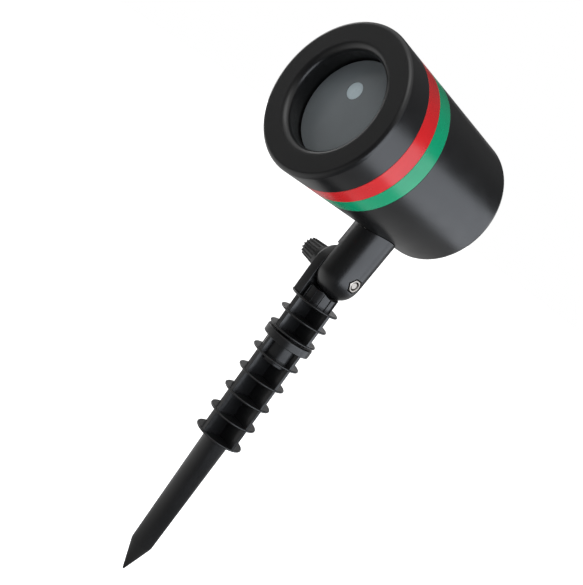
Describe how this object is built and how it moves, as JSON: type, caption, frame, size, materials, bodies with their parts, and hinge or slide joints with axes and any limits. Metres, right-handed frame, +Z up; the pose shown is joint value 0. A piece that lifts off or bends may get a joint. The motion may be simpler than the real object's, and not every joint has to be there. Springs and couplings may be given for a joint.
{
  "type": "garden laser light projector",
  "caption": "Garden laser projector: a tapered round head with a recessed window and coloured bands, tilting on a clamped pivot above a finned ground stake.",
  "frame": {"origin": "on the stake's axis at ground level, the upper face of the stake's top disc", "axes": "+Z up along the stake, the light leaves towards -Y, +X along the pivot bolt from the knob towards the nut"},
  "size_m": [0.1, 0.1512, 0.3818],
  "materials": {
    "black_plastic": "fine moulded texture, satin",
    "green_plastic": "satin gloss",
    "red_plastic": "satin gloss",
    "smoked_window": "smooth, dark grey",
    "frosted_lens": "frosted",
    "seal_rubber": "matt",
    "lead_sleeve": "matt sleeve",
    "plated_steel": "zinc plated, bright",
    "cast_aluminium": "satin",
    "turned_brass": "turned",
    "optical_glass": "polished",
    "circuit_board": "lacquered"
  },
  "bodies": {
    "stake": {"upper_stake": "black_plastic", "lower_stake": "black_plastic"},
    "head": {"beam_combiner": "optical_glass", "block_screw_left": "plated_steel", "block_screw_right": "plated_steel", "board_screw_left": "plated_steel", "board_screw_right": "plated_steel", "board_spacer_left": "turned_brass", "board_spacer_right": "turned_brass", "body_shell": "black_plastic", "chassis_disc": "cast_aluminium", "chassis_screw_1": "plated_steel", "chassis_screw_2": "plated_steel", "chassis_screw_3": "plated_steel", "cover_screw_1": "plated_steel", "cover_screw_2": "plated_steel", "cover_screw_3": "plated_steel", "cover_screw_4": "plated_steel", "diffraction_grating": "optical_glass", "driver_board": "circuit_board", "emitter_lens": "frosted_lens", "front_bezel": "black_plastic", "gland_body": "black_plastic", "gland_cap": "black_plastic", "gland_locknut": "black_plastic", "gland_seal": "seal_rubber", "green_band": "green_plastic", "green_laser": "turned_brass", "green_lead": "lead_sleeve", "laser_block": "cast_aluminium", "light_shroud": "black_plastic", "neck": "black_plastic", "neck_screw_front": "plated_steel", "neck_screw_rear": "plated_steel", "pivot_nut": "plated_steel", "rear_cover": "black_plastic", "rear_gasket": "seal_rubber", "red_band": "red_plastic", "red_laser": "turned_brass", "red_lead": "lead_sleeve", "supply_lead": "lead_sleeve", "window": "smoked_window", "window_gasket": "seal_rubber"},
    "washer": {"pivot_washer": "plated_steel"},
    "knob": {"clamp_knob": "black_plastic", "pivot_bolt": "plated_steel"}
  },
  "joints": [
    {"name": "head_tilt", "type": "hinge", "parent": "stake", "child": "head", "pos_m": [0, 0, 0.02415], "axis": [-1, 0, 0], "range_deg": [-95, 84]},
    {"name": "clamp_travel", "type": "slide", "parent": "head", "child": "washer", "axis": [-1, 0, 0], "range_m": [0, 0.0016]},
    {"name": "clamp_turn", "type": "hinge", "parent": "washer", "child": "knob", "pos_m": [0, 0, 0.02415], "axis": [-1, 0, 0], "range_deg": [0, 720]}
  ],
  "couplings": [
    {"joint": "clamp_travel", "follows": "clamp_turn", "m_per_rad": 0.00012732}
  ]
}
